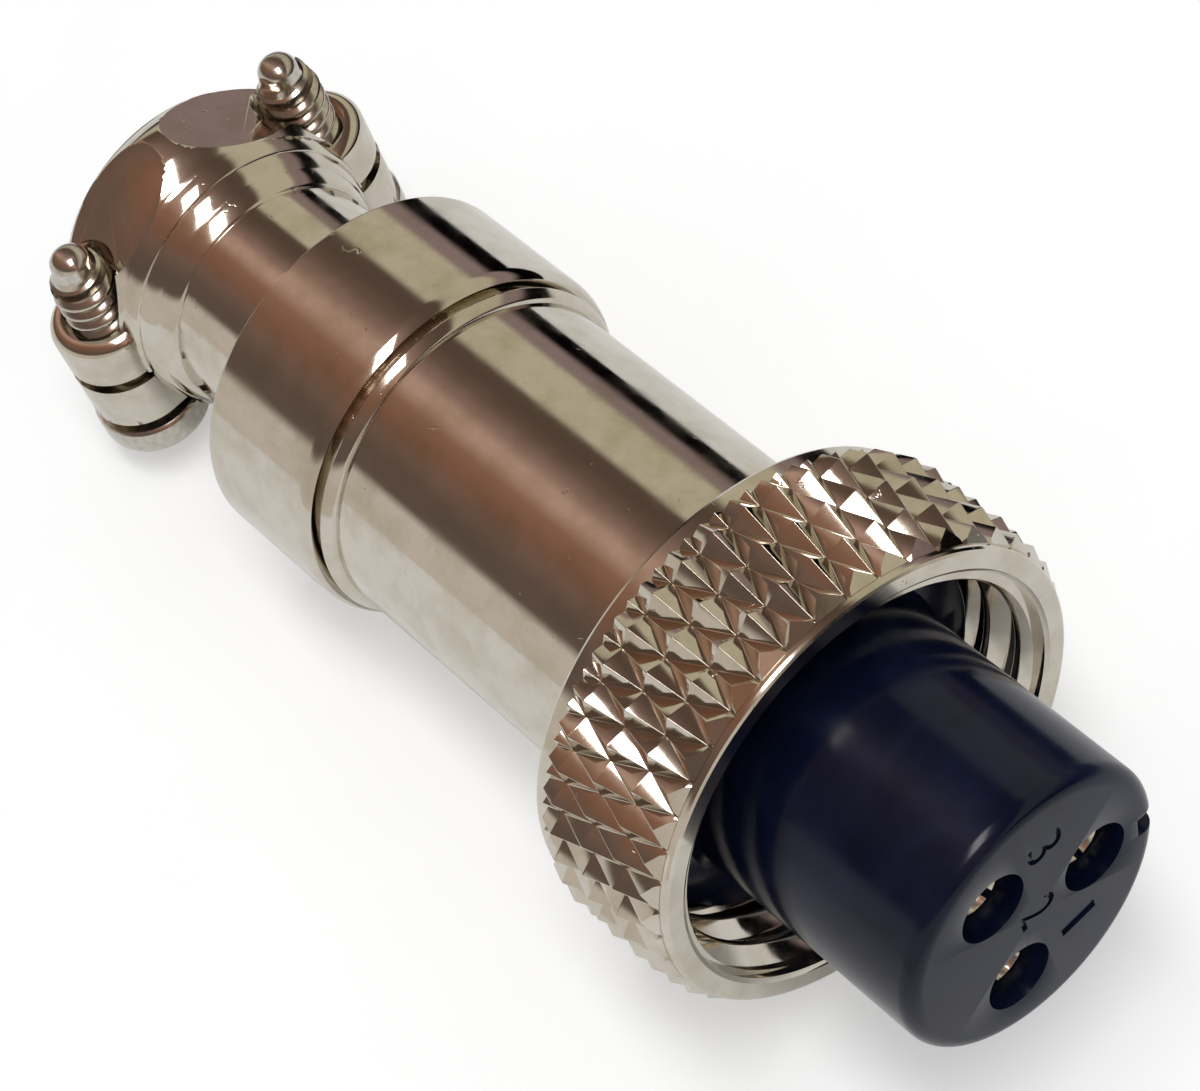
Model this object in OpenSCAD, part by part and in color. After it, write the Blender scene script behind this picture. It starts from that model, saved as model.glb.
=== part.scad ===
// Three-contact cable plug of the round, screw-coupled kind.
// Millimetres. The plug's axis is X and the mating nose points to +X; the origin is the
// centre of the nose's flat face. +Z points along the two clamp screws, from heads to tips.

/* [Insert] */
// Diameter of the mating nose
nose_d = 11.0; // [10.6:0.1:11.4]
// Length of the nose in front of its flange
nose_l = 10.6; // [9.6:0.1:11.2]
// Radius of the rounded front edge of the nose
nose_round = 0.6; // [0.3:0.1:0.9]
// Radius of the circle that the three contacts stand on
contact_ring_r = 2.7; // [2.5:0.05:2.8]
// Diameter of each contact hole in the nose
contact_hole_d = 2.66; // [2.5:0.02:2.8]
// Width of the keyway along the nose
key_w = 0.9; // [0.6:0.1:1.2]
// Depth of the keyway below the nose's surface
key_depth = 0.9; // [0.5:0.1:1.1]
// Angle of the keyway from +Y, about the axis
key_angle = -9; // [-15:1:0]

/* [Contacts] */
// Diameter of the pin that a socket contact takes
pin_d = 1.5; // [1.2:0.1:1.6]
// Outer diameter of a socket contact
contact_d = 2.3; // [2.2:0.05:2.4]
// Depth of the contact's mouth below the nose's face
contact_recess = 0.9; // [0.5:0.1:1.5]
// Width of the slits that let the socket spring
slit_w = 0.3; // [0.2:0.05:0.4]

/* [Coupling nut] */
// Outer diameter over the knurl
nut_d = 19.0; // [18.6:0.1:19.4]
// Length of the nut
nut_l = 6.6; // [6.2:0.1:7.0]
// How far the nose stands out of the nut
nose_out = 7.7; // [7.2:0.1:8.2]
// Diameter of the mouth of the nut, over its chamfer
nut_mouth_d = 16.3; // [16.0:0.1:16.4]
// Diameter of the plain bore inside the coupling thread
nut_bore_d = 15.0; // [14.8:0.1:15.2]
// Number of diamonds round the knurl
knurl_count = 43; // [36:1:48]
// Distance along the nut from one row of diamonds to the next, half a diamond on
knurl_pitch = 1.57; // [1.3:0.01:1.8]
// Depth of the knurl's grooves
knurl_depth = 0.42; // [0.3:0.02:0.5]

/* [Shell] */
// Diameter of the smooth front barrel
front_d = 12.8; // [12.6:0.1:13.0]
// Diameter of the rear barrel
rear_d = 14.3; // [14.0:0.1:14.6]
// Distance from the nose's face back to the step between the barrels
step_x = 29.0; // [28.4:0.1:29.6]
// Distance from the nose's face back to the end of the rear barrel
rear_x = 35.0; // [34.4:0.1:35.4]
// Diameter of the neck
neck_d = 9.2; // [9.0:0.1:9.6]
// Diameter of the cable's way through the neck
neck_bore_d = 7.6; // [7.0:0.1:7.8]

/* [Cable clamp] */
// Width of the clamp along the cable
clamp_w = 4.2; // [4.0:0.1:4.6]
// Distance from the nose's face back to the clamp screws
screw_x = 44.1; // [43.8:0.1:44.4]
// Distance of each clamp screw from the axis
screw_y = 5.3; // [5.2:0.1:5.6]
// Diameter of the cable that the closed clamp takes
cable_d = 8.2; // [7.8:0.1:8.4]
// Diameter over the crown of the clamp head
arch_d = 12.7; // [12.4:0.1:13.0]
// Radius of the crown's rounding along the cable
arch_round = 2.6; // [2.3:0.1:3.0]
// Distance of the arch's two flats from the axis
arch_flat = 5.65; // [5.5:0.05:5.9]
// Height of the middle of the gap between the clamp head and the saddle
part_z = -0.4; // [-0.6:0.05:0]
// Width of that gap
part_gap = 0.5; // [0.3:0.05:0.8]
// Thickness of the ears on the clamp head
ear_t = 2.05; // [1.8:0.05:2.4]
// Thickness of the ears on the saddle
saddle_t = 2.15; // [1.8:0.05:2.4]
// Thread diameter of the clamp screws
screw_d = 2.5; // [2.4:0.1:2.6]
// Length of the clamp screws under the head
screw_l = 8.7; // [8.0:0.1:9.2]
// Diameter of the clamp screws' heads
head_d = 4.4; // [4.2:0.1:4.6]
// Height of the clamp screws' heads
head_h = 1.6; // [1.4:0.1:1.8]
// How far the left clamp screw is backed out
left_out = 0.5; // [0:0.1:0.6]

/* [Hidden] */

$fn = 96;
eps = 0.01;
fit = 0.03;

nut_front = -nose_out;
nut_rear = nut_front - nut_l;
nut_lip = 1.2;
nut_rim = 0.7;
nut_land = 0.3;
nut_chamfer = 0.15;
nut_clear = 0.3;
knurl_x0 = nut_rear + nut_rim;
knurl_x1 = nut_front - nut_land;
// Where a row of the knurl's lattice stands; the front row peaks just behind the front land
knurl_row_x = knurl_x1 - 0.14 - 2 * knurl_pitch;

flange_x = -nose_l;
flange_t = 1.3;
flange_r = nut_bore_d / 2 - 0.35;
sleeve_front = flange_x - flange_t;
sleeve_flange_t = nut_rear + nut_lip + nut_clear < sleeve_front ?
    sleeve_front - (nut_rear + nut_lip + nut_clear) : 0.6;
shell_front = sleeve_front - sleeve_flange_t;
sleeve_r = 5.3;
sleeve_bore_r = 4.6;
sleeve_rear = -20.4;
sleeve_lip = 0.6;

collar_x = -14.2;
collar_t = 1.0;
collar_r = 1.55;
rear_insulator_x = sleeve_rear + sleeve_lip;
contact_end = -25.0;
socket_depth = 6.5;
cup_depth = 3.2;

groove_w = 0.26;
groove_r = front_d / 2 + 0.12;
ring_w = 0.45;
ring_r = front_d / 2 + 0.4;
ring_slope = 0.2;
shoulder_r = 0.9;
shoulder_turn = 38;
cavity_r = 5.5;
rear_wall = 1.4;

head_rear = -screw_x - clamp_w / 2;
head_front = -screw_x + clamp_w / 2;
crown_x = head_rear + 1.9;
crown_front = head_front - 0.5;
neck_start = head_front + 1.6;
// The steps from the neck up to the clamp head: [radius, x] of the low and high end of each cone
neck_steps = [
    [4.72, neck_start - 0.05], [5.0, head_front + 0.85],
    [5.08, head_front + 0.82], [5.34, head_front + 0.2],
    [5.42, head_front + 0.17], [5.62, head_front - 0.45]
];
ear_r = clamp_w / 2;
saddle_clear = 0.2;
head_z = part_z + part_gap / 2;
pocket_r = 1.5;
pocket_z = head_z + 1.55;
saddle_r = 5.9;
saddle_top = part_z - part_gap / 2;
saddle_bottom = saddle_top - saddle_t;
tip_z = saddle_bottom + screw_l;
tip_r = 0.85;
tip_h = 0.75;

lock_x = -17.0;
lock_r = 1.0;

// Points of a circular arc, from angle a0 to a1
function arc(c, r, a0, a1, n = 8) =
    [for (i = [0:n]) let (a = a0 + (a1 - a0) * i / n) [c[0] + r * cos(a), c[1] + r * sin(a)]];

// A turned piece about the plug's axis, from a profile of [radius, x] points
module turned(profile) {
    rotate([0, 90, 0]) rotate_extrude() polygon(profile);
}

// A round hole or rod along X, from x0 to x1
module rod_x(r, x0, x1) {
    translate([x0, 0, 0]) rotate([0, 90, 0]) cylinder(r = r, h = x1 - x0);
}

// Its children at the place of contact number i
module at_contact(i) {
    rotate([i * 120, 0, 0]) translate([0, contact_ring_r, 0]) children();
}

// Its children at one clamp screw: side is -1 or 1
module at_screw(side) {
    translate([-screw_x, side * screw_y, 0]) children();
}

// The outline of the clamp's ears, seen along Z
module ear_outline() {
    for (side = [-1, 1]) translate([-screw_x, side * screw_y]) circle(r = ear_r);
    translate([-screw_x - ear_r, -screw_y]) square([clamp_w, 2 * screw_y]);
}

// Outer form of the barrels, the neck and the round part of the clamp head
module shell_body() {
    front_r = front_d / 2;
    rear_r = rear_d / 2;
    ring_x0 = -step_x + groove_w / 2;
    ring_x1 = ring_x0 + ring_w;
    shoulder_x = -step_x - groove_w / 2;
    turned(concat(
        [[0, shell_front], [front_r - 0.2, shell_front], [front_r, shell_front - 0.2],
         [front_r, ring_x1 + 0.1], [ring_r - ring_slope, ring_x1], [ring_r, ring_x0 + 0.05],
         [ring_r - 0.05, ring_x0], [groove_r, ring_x0], [groove_r, shoulder_x]],
        arc([rear_r - shoulder_r, shoulder_x - shoulder_r * sin(shoulder_turn)], shoulder_r,
            shoulder_turn, 0),
        [[rear_r, -rear_x + 0.15], [rear_r - 0.15, -rear_x], [neck_d / 2, -rear_x],
         [neck_d / 2, neck_start]],
        neck_steps,
        arc([arch_d / 2 - arch_round, crown_x], arch_round, asin((crown_front - crown_x) / arch_round),
            asin((head_rear - crown_x) / arch_round)),
        [[0, head_rear]]
    ));
}

module shell() {
    color("silver") difference() {
        union() {
            difference() {
                shell_body();
                for (side = [-1, 1]) rotate([side * 30, 0, 0])
                    translate([head_rear - 1, -10, arch_flat]) cube([clamp_w + 1, 20, 10]);
            }
            translate([0, 0, head_z]) linear_extrude(ear_t) ear_outline();
        }
        translate([head_rear - 1, -10, head_z - 20]) cube([clamp_w + 1 + saddle_clear, 20, 20]);
        for (side = [-1, 1]) at_screw(side) {
            translate([0, 0, pocket_z]) cylinder(r = pocket_r, h = 10);
            translate([0, 0, -1]) cylinder(r = screw_d / 2 + fit, h = 10);
        }
        rod_x(sleeve_r, sleeve_rear - 1, shell_front + 1);
        rod_x(cavity_r, -rear_x + rear_wall, sleeve_rear);
        rod_x(neck_bore_d / 2, -rear_x - 12, -rear_x + rear_wall + 1);
        rod_x(cable_d / 2, head_rear - 1, head_front - 0.6);
        translate([lock_x, 0, -front_d / 2 - 1]) cylinder(r = lock_r, h = 3);
    }
}

// A point of the knurl: column col of 2 * knurl_count, distance row along the rows, radius r
function knurl_point(col, row, r) =
    let (a = col * 180 / knurl_count)
    [knurl_row_x + row * knurl_pitch, r * cos(a), r * sin(a)];

// A face as given for the front end, or turned over for the rear end
function facing(side, face) = side == 1 ? face : [for (v = [len(face) - 1:-1:0]) face[v]];

// The nut's solid blank with its diamond knurl. Grooves run along both diagonals of a lattice
// of columns and whole rows, and cross where column + row is even; a diamond peaks where it is
// odd. The knurl is cut off square at both ends, and a plain land leads to each end face.
module knurled_blank() {
    cols = 2 * knurl_count;
    peak_r = nut_d / 2;
    floor_r = peak_r - knurl_depth;
    cuts = [(knurl_x0 - knurl_row_x) / knurl_pitch, (knurl_x1 - knurl_row_x) / knurl_pitch];
    first = ceil(cuts[0]);
    last = floor(cuts[1]);
    rows = last - first + 1;
    whole = [for (j = [first:last], i = [0:cols - 1])
        knurl_point(i, j, (i + j) % 2 == 0 ? floor_r : peak_r)];
    // Each end has its columns' points at the cut, and three rings of the grooves' points
    tails = [for (side = [0, 1])
        let (j = side == 0 ? first : last, f = abs(cuts[side] - j), face_x = [nut_rear, nut_front][side],
             inward = [1, -1][side] * nut_chamfer,
             land = (face_x + inward - knurl_row_x) / knurl_pitch,
             face = (face_x - knurl_row_x) / knurl_pitch,
             shift = [for (i = [0:cols - 1]) (i + j) % 2 == 0 ? i + f : i + 1 - f],
             rise = [for (i = [0:cols - 1]) (i + j) % 2 == 0 ? f : 1 - f])
        each concat(
            [for (i = [0:cols - 1]) knurl_point(i, cuts[side], floor_r + rise[i] * knurl_depth)],
            [for (i = [0:cols - 1]) knurl_point(shift[i], cuts[side], floor_r)],
            [for (i = [0:cols - 1]) knurl_point(shift[i], land, floor_r)],
            [for (i = [0:cols - 1]) knurl_point(shift[i], face, floor_r - nut_chamfer)])];
    skin = [for (j = [0:rows - 2], i = [0:cols - 1])
        let (n = (i + 1) % cols, a = j * cols + i, b = j * cols + n, c = a + cols, d = b + cols)
        each ((i + j + first) % 2 == 0 ? [[a, d, b], [a, c, d]] : [[a, c, b], [b, c, d]])];
    ends = [for (side = [0, 1], i = [0:cols - 1])
        let (n = (i + 1) % cols, row = side * (rows - 1), a = row * cols + i, b = row * cols + n,
             k = (rows + 4 * side) * cols, p = k + i, q = k + n, g = k + cols + i, h = k + cols + n,
             slopes = (i + row + first) % 2 == 0 ? [[a, p, g], [a, g, q, b]] : [[a, p, g, b], [b, g, q]])
        each [for (face = concat(slopes, [[h, q, g]],
                [for (ring = [0, 1] * cols) [g + ring, g + ring + cols, h + ring + cols, h + ring]]))
            facing(side, face)]];
    caps = [for (side = [0, 1])
        facing(side, [for (i = [cols - 1:-1:0]) (rows + 4 * side + 3) * cols + i])];
    polyhedron(points = concat(whole, tails), faces = concat(skin, ends, caps), convexity = 6);
}

module coupling_nut() {
    mouth_r = nut_mouth_d / 2;
    bore_r = nut_bore_d / 2;
    color("silver") difference() {
        knurled_blank();
        rod_x(front_d / 2 + nut_clear, nut_rear - 1, nut_front);
        rod_x(bore_r, nut_rear + nut_lip, nut_front + 1);
        turned([[0, nut_front - (mouth_r - bore_r)], [bore_r, nut_front - (mouth_r - bore_r)],
                [mouth_r + eps, nut_front + eps], [0, nut_front + eps]]);
    }
}

module retaining_sleeve() {
    color("silver") difference() {
        turned([[0, sleeve_front], [flange_r, sleeve_front], [flange_r, shell_front],
                [sleeve_r - fit, shell_front], [sleeve_r - fit, sleeve_rear], [0, sleeve_rear]]);
        rod_x(sleeve_bore_r, rear_insulator_x, sleeve_front + 1);
        rod_x(sleeve_bore_r - 0.5, sleeve_rear - 1, rear_insulator_x + eps);
    }
}

module front_insulator() {
    nose_r = nose_d / 2;
    color([0.06, 0.06, 0.08]) difference() {
        turned(concat(
            [[0, collar_x], [sleeve_bore_r - fit, collar_x], [sleeve_bore_r - fit, sleeve_front],
             [flange_r, sleeve_front], [flange_r, flange_x + 0.1], [flange_r - 0.1, flange_x],
             [nose_r + 0.3, flange_x], [nose_r, flange_x + 0.3]],
            arc([nose_r - nose_round, -nose_round], nose_round, 0, 90),
            [[0, 0]]
        ));
        for (i = [0:2]) at_contact(i) {
            rod_x(contact_hole_d / 2, collar_x - 1, 1);
            rod_x(collar_r + fit, collar_x - 1, collar_x + collar_t);
        }
        rotate([key_angle, 0, 0])
            translate([flange_x, nose_r - key_depth, -key_w / 2]) cube([nose_l + 1, 2, key_w]);
    }
}

module rear_insulator() {
    color([0.1, 0.1, 0.12]) difference() {
        rod_x(sleeve_bore_r - fit, rear_insulator_x, collar_x);
        for (i = [0:2]) at_contact(i) rod_x(contact_d / 2 + fit, sleeve_rear, collar_x + 1);
    }
}

// One socket contact: a split spring socket in front, a collar and a solder cup behind
module socket_contact(i) {
    mouth_x = -contact_recess;
    r = contact_d / 2;
    bore_r = pin_d / 2 + 0.03;
    at_contact(i) color("gold") difference() {
        turned([[0, contact_end], [r, contact_end], [r, collar_x], [collar_r, collar_x],
                [collar_r, collar_x + collar_t], [r, collar_x + collar_t], [r, mouth_x - 0.15],
                [r - 0.15, mouth_x], [0, mouth_x]]);
        rod_x(bore_r, mouth_x - socket_depth, mouth_x + 1);
        turned([[0, mouth_x - 0.15], [bore_r, mouth_x - 0.15], [bore_r + 0.2, mouth_x + 0.05],
                [0, mouth_x + 0.05]]);
        translate([mouth_x - 4.5, -slit_w / 2, -2]) cube([6, slit_w, 4]);
        rod_x(r - 0.3, contact_end - 1, contact_end + cup_depth);
        translate([contact_end - 1, -2, 0.3]) cube([cup_depth * 0.7 + 1, 4, 3]);
    }
}

module lock_screw() {
    color("gray") difference() {
        translate([lock_x, 0, -front_d / 2 + 0.15])
            cylinder(r = lock_r - fit, h = front_d / 2 - sleeve_r - 0.15);
        translate([lock_x - 2, -0.15, -front_d / 2]) cube([4, 0.3, 0.5]);
    }
}

module clamp_saddle() {
    color("silver") difference() {
        union() {
            rod_x(saddle_r, head_rear, head_front);
            translate([0, 0, saddle_bottom]) linear_extrude(saddle_t) ear_outline();
        }
        translate([head_rear - 1, -10, saddle_top]) cube([clamp_w + 2, 20, 20]);
        rod_x(cable_d / 2, head_rear - 1, head_front + 1);
        for (side = [-1, 1]) at_screw(side) translate([0, 0, -10]) {
            cylinder(r = screw_d / 2 + 0.08, h = 20);
            cylinder(r = head_d / 2 + 0.2, h = 10 + saddle_bottom);
        }
    }
}

// One clamp screw with its head below the saddle; side is -1 or 1
module clamp_screw(side) {
    r = screw_d / 2;
    z0 = saddle_bottom - head_h;
    at_screw(side) translate([0, 0, side == -1 ? -left_out : 0]) color("silver") difference() {
        rotate_extrude() polygon(concat(
            [[0, z0]],
            arc([head_d / 2 - 0.7, z0 + 0.7], 0.7, -90, 0),
            [[head_d / 2, saddle_bottom], [r, saddle_bottom], [r, tip_z - tip_h], [tip_r, tip_z - 0.35],
             [tip_r * 0.6, tip_z - 0.05], [0, tip_z]]
        ));
        for (a = [0, 90]) rotate(a)
            translate([-1.2, -0.25, z0 - 1]) cube([2.4, 0.5, 1.8]);
    }
}

shell();
coupling_nut();
retaining_sleeve();
front_insulator();
rear_insulator();
socket_contact(0);  // socket_contact_1
socket_contact(1);  // socket_contact_2
socket_contact(2);  // socket_contact_3
lock_screw();
clamp_saddle();
clamp_screw(-1);  // clamp_screw_left
clamp_screw(1);  // clamp_screw_right
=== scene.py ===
"""Dresses a round three-contact cable plug: nickel shell, knurled nut, black nose, cable clamp.

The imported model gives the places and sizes. Each sub-assembly is a class that models its pieces
with Blender's own tools and gives them their finish.
"""

import logging
import math
from dataclasses import dataclass
from enum import Enum
from typing import Any, Iterable, Sequence

import bpy
from mathutils import Matrix, Vector


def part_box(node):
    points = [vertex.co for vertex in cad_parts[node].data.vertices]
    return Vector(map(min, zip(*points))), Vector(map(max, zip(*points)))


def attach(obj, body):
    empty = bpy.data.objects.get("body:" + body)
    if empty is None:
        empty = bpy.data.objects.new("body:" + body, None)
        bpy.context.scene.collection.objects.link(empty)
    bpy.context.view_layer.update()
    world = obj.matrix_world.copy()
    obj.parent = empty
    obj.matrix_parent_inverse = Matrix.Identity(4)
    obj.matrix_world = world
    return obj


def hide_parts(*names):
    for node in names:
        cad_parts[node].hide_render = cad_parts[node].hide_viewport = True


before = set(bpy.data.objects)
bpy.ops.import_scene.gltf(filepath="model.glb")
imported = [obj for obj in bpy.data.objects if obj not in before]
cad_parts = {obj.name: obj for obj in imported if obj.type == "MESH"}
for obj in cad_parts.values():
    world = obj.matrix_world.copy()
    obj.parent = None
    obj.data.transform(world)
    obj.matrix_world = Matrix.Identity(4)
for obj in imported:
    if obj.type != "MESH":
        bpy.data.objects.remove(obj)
log = logging.getLogger("plug")
MM = 0.001
AXIS_X = (1.0, 0.0, 0.0)
ORIGIN = (0.0, 0.0, 0.0)
Point = tuple[float, float]


# ---------------------------------------------------------------- modelling by hand, in code


def deselect() -> None:
    """Leaves edit mode and selects nothing."""
    if bpy.context.mode != "OBJECT":
        bpy.ops.object.mode_set(mode="OBJECT")
    bpy.ops.object.select_all(action="DESELECT")


def activate(piece: bpy.types.Object) -> bpy.types.Object:
    """Selects one object alone and makes it the active one.

    Args:
        piece: The object to work on.

    Returns:
        The same object.
    """
    deselect()
    piece.select_set(True)
    bpy.context.view_layer.objects.active = piece
    return piece


def start(name: str) -> bpy.types.Object:
    """Names the primitive just added and makes it the active object.

    Args:
        name: The new object's name.

    Returns:
        The new object.
    """
    piece = bpy.context.active_object
    piece.name = name
    piece.data.name = name
    return activate(piece)


def settle(piece: bpy.types.Object) -> bpy.types.Object:
    """Moves an object's place into its mesh, so that the object sits at the origin.

    Args:
        piece: The object to settle.

    Returns:
        The same object.
    """
    activate(piece)
    bpy.ops.object.transform_apply(location=True, rotation=True, scale=True)
    return piece


def outward(piece: bpy.types.Object, merge: float = 1e-7) -> bpy.types.Object:
    """Merges doubled points of a closed mesh and turns its faces outwards.

    Args:
        piece: The object to clean.
        merge: The distance, in metres, under which points are merged.

    Returns:
        The same object.
    """
    activate(piece)
    bpy.ops.object.mode_set(mode="EDIT")
    bpy.ops.mesh.select_all(action="SELECT")
    bpy.ops.mesh.remove_doubles(threshold=merge)
    bpy.ops.mesh.normals_make_consistent(inside=False)
    bpy.ops.object.mode_set(mode="OBJECT")
    return piece


def chain(name: str, points: Sequence[Point]) -> bpy.types.Object:
    """Extrudes one vertex along a profile in the XZ plane.

    Args:
        name: The object's name.
        points: The profile as (x, radius) in millimetres.

    Returns:
        An object that holds the profile as a chain of edges.
    """
    deselect()
    bpy.ops.mesh.primitive_plane_add(size=0.001, location=ORIGIN)
    piece = start(name)
    bpy.ops.object.mode_set(mode="EDIT")
    bpy.ops.mesh.select_all(action="SELECT")
    bpy.ops.mesh.merge(type="CENTER")
    x, r = points[0]
    bpy.ops.transform.translate(value=(x * MM, 0, r * MM))
    for nx, nr in points[1:]:
        step = ((nx - x) * MM, 0, (nr - r) * MM)
        bpy.ops.mesh.extrude_region_move(TRANSFORM_OT_translate={"value": step})
        x, r = nx, nr
    bpy.ops.object.mode_set(mode="OBJECT")
    return piece


def turned(name: str, points: Sequence[Point], steps: int = 192) -> bpy.types.Object:
    """Turns a profile about the plug's axis, as on a lathe.

    Args:
        name: The object's name.
        points: The profile as (x, radius) in millimetres.
        steps: How many facets the full turn has.

    Returns:
        The turned object, its faces outwards.
    """
    piece = activate(chain(name, points))
    bpy.ops.object.mode_set(mode="EDIT")
    bpy.ops.mesh.select_all(action="SELECT")
    bpy.ops.mesh.spin(steps=steps, angle=math.tau, center=ORIGIN, axis=AXIS_X)
    bpy.ops.object.mode_set(mode="OBJECT")
    return outward(piece, 2e-6)


def arc(cx: float, cr: float, radius: float, a0: float, a1: float, n: int = 8) -> list[Point]:
    """Points of a round stretch of a profile.

    Args:
        cx: The arc's centre along the axis.
        cr: The arc's centre away from the axis.
        radius: The arc's radius.
        a0: Start angle in degrees, from +X towards the outside.
        a1: End angle in degrees.
        n: How many steps the arc has.

    Returns:
        The arc's points.
    """
    angles = (math.radians(a0 + (a1 - a0) * i / n) for i in range(n + 1))
    return [(cx + radius * math.cos(a), cr + radius * math.sin(a)) for a in angles]


def rod(name: str, radius: float, x0: float, x1: float, y: float = 0, z: float = 0,
        sides: int = 96) -> bpy.types.Object:
    """A plain rod along X, as a cutter or as the start of a piece.

    Args:
        name: The object's name.
        radius: Its radius in millimetres.
        x0: Where it starts along X.
        x1: Where it ends along X.
        y: Its axis' place across.
        z: Its axis' height.
        sides: Facets round it.

    Returns:
        The rod.
    """
    deselect()
    bpy.ops.mesh.primitive_cylinder_add(
        vertices=sides, radius=radius * MM, depth=(x1 - x0) * MM,
        location=((x0 + x1) / 2 * MM, y * MM, z * MM), rotation=(0, math.pi / 2, 0))
    return settle(start(name))


def post(name: str, radius: float, x: float, y: float, z0: float, z1: float,
         sides: int = 96) -> bpy.types.Object:
    """A plain rod along Z.

    Args:
        name: The object's name.
        radius: Its radius in millimetres.
        x: Its axis' place along X.
        y: Its axis' place across.
        z0: Its lower end.
        z1: Its upper end.
        sides: Facets round it.

    Returns:
        The rod.
    """
    deselect()
    bpy.ops.mesh.primitive_cylinder_add(
        vertices=sides, radius=radius * MM, depth=(z1 - z0) * MM,
        location=(x * MM, y * MM, (z0 + z1) / 2 * MM))
    return settle(start(name))


def block(name: str, low: Sequence[float], high: Sequence[float]) -> bpy.types.Object:
    """A box between two corners, in millimetres.

    Args:
        name: The object's name.
        low: The lowest corner.
        high: The highest corner.

    Returns:
        The box.
    """
    deselect()
    middle = [(a + b) / 2 * MM for a, b in zip(low, high)]
    size = [(b - a) * MM for a, b in zip(low, high)]
    bpy.ops.mesh.primitive_cube_add(size=1, location=middle, scale=size)
    return settle(start(name))


class Cut(Enum):
    """How two solids are combined."""

    UNION = "UNION"
    DIFFERENCE = "DIFFERENCE"
    INTERSECT = "INTERSECT"


def combine(piece: bpy.types.Object, tool: bpy.types.Object, how: Cut) -> bpy.types.Object:
    """Joins a tool to a piece, or cuts it away, and removes the tool.

    Args:
        piece: The solid that is changed.
        tool: The solid that joins or cuts it.
        how: Union, difference or intersection.

    Returns:
        The changed piece.
    """
    modifier = piece.modifiers.new("combine", "BOOLEAN")
    modifier.operation = how.value
    modifier.solver = "EXACT"
    modifier.object = tool
    activate(piece)
    bpy.ops.object.modifier_apply(modifier=modifier.name)
    bpy.data.objects.remove(tool, do_unlink=True)
    return piece


def soften(piece: bpy.types.Object, width: float, segments: int = 2,
           angle: float = 32) -> bpy.types.Object:
    """Rounds a solid's sharp edges.

    Args:
        piece: The solid.
        width: The rounding's width in millimetres.
        segments: Facets across the rounding.
        angle: The least angle, in degrees, of an edge that is rounded.

    Returns:
        The same object.
    """
    modifier = piece.modifiers.new("round", "BEVEL")
    modifier.width = width * MM
    modifier.segments = segments
    modifier.limit_method = "ANGLE"
    modifier.angle_limit = math.radians(angle)
    modifier.use_clamp_overlap = True
    modifier.harden_normals = False
    activate(piece)
    bpy.ops.object.modifier_apply(modifier=modifier.name)
    return piece


def smooth(piece: bpy.types.Object, angle: float = 30) -> bpy.types.Object:
    """Shades a piece smooth, but keeps edges sharper than an angle.

    Args:
        piece: The object to shade.
        angle: The angle in degrees.

    Returns:
        The same object.
    """
    activate(piece)
    bpy.ops.object.shade_smooth_by_angle(angle=math.radians(angle))
    return piece


def even_out(piece: bpy.types.Object) -> bpy.types.Object:
    """Lets large faces keep their own normals beside narrow roundings.

    Args:
        piece: The smooth-shaded object.

    Returns:
        The same object.
    """
    modifier = piece.modifiers.new("normals", "WEIGHTED_NORMAL")
    modifier.keep_sharp = True
    activate(piece)
    bpy.ops.object.modifier_apply(modifier=modifier.name)
    return piece


def join(name: str, pieces: Sequence[bpy.types.Object]) -> bpy.types.Object:
    """Joins several objects into one.

    Args:
        name: The joined object's name.
        pieces: The objects.

    Returns:
        The joined object.
    """
    deselect()
    for piece in pieces:
        piece.select_set(True)
    bpy.context.view_layer.objects.active = pieces[0]
    bpy.ops.object.join()
    joined = bpy.context.active_object
    joined.name = name
    joined.data.name = name
    return joined


def copy_of(piece: bpy.types.Object, name: str, place: Matrix) -> bpy.types.Object:
    """A copy with its own mesh, moved by a matrix.

    Args:
        piece: The object to copy.
        name: The copy's name.
        place: Where it goes, from the first one's place.

    Returns:
        The copy.
    """
    twin = piece.copy()
    twin.data = piece.data.copy()
    twin.name = name
    bpy.context.scene.collection.objects.link(twin)
    twin.data.transform(place)
    return twin


def about_x(degrees: float) -> Matrix:
    """A turn about the plug's axis."""
    return Matrix.Rotation(math.radians(degrees), 4, "X")


def helix(name: str, profile: Sequence[Point], pitch: float, turns: int, x0: float,
          steps: int = 72) -> bpy.types.Object:
    """Winds a closed profile round the X axis as a right-hand screw thread.

    Args:
        name: The object's name.
        profile: The thread's section as (x, radius) in millimetres; it closes on itself.
        pitch: The advance of one turn in millimetres.
        turns: How many turns are wound.
        x0: Where the section starts along X.
        steps: Facets for each turn.

    Returns:
        The wound thread.
    """
    points = [(x + x0, r) for x, r in profile]
    piece = outward(chain(name, points + points[:1]))
    modifier = piece.modifiers.new("wind", "SCREW")
    modifier.axis = "X"
    modifier.angle = math.tau
    modifier.screw_offset = pitch * MM
    modifier.iterations = turns
    modifier.steps = steps
    modifier.render_steps = steps
    modifier.use_merge_vertices = False
    activate(piece)
    bpy.ops.object.modifier_apply(modifier=modifier.name)
    return piece


def trim(piece: bpy.types.Object, at: Sequence[float], normal: Sequence[float]) -> bpy.types.Object:
    """Cuts off what lies beyond a plane and closes the cut.

    Args:
        piece: The solid to cut.
        at: A point of the plane, in millimetres.
        normal: The direction in which everything is cut off.

    Returns:
        The same object.
    """
    activate(piece)
    bpy.ops.object.mode_set(mode="EDIT")
    bpy.ops.mesh.select_all(action="SELECT")
    bpy.ops.mesh.bisect(plane_co=[v * MM for v in at], plane_no=normal, use_fill=True,
                        clear_outer=True, threshold=1e-7)
    bpy.ops.object.mode_set(mode="OBJECT")
    return piece


# ---------------------------------------------------------------- finishes


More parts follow.
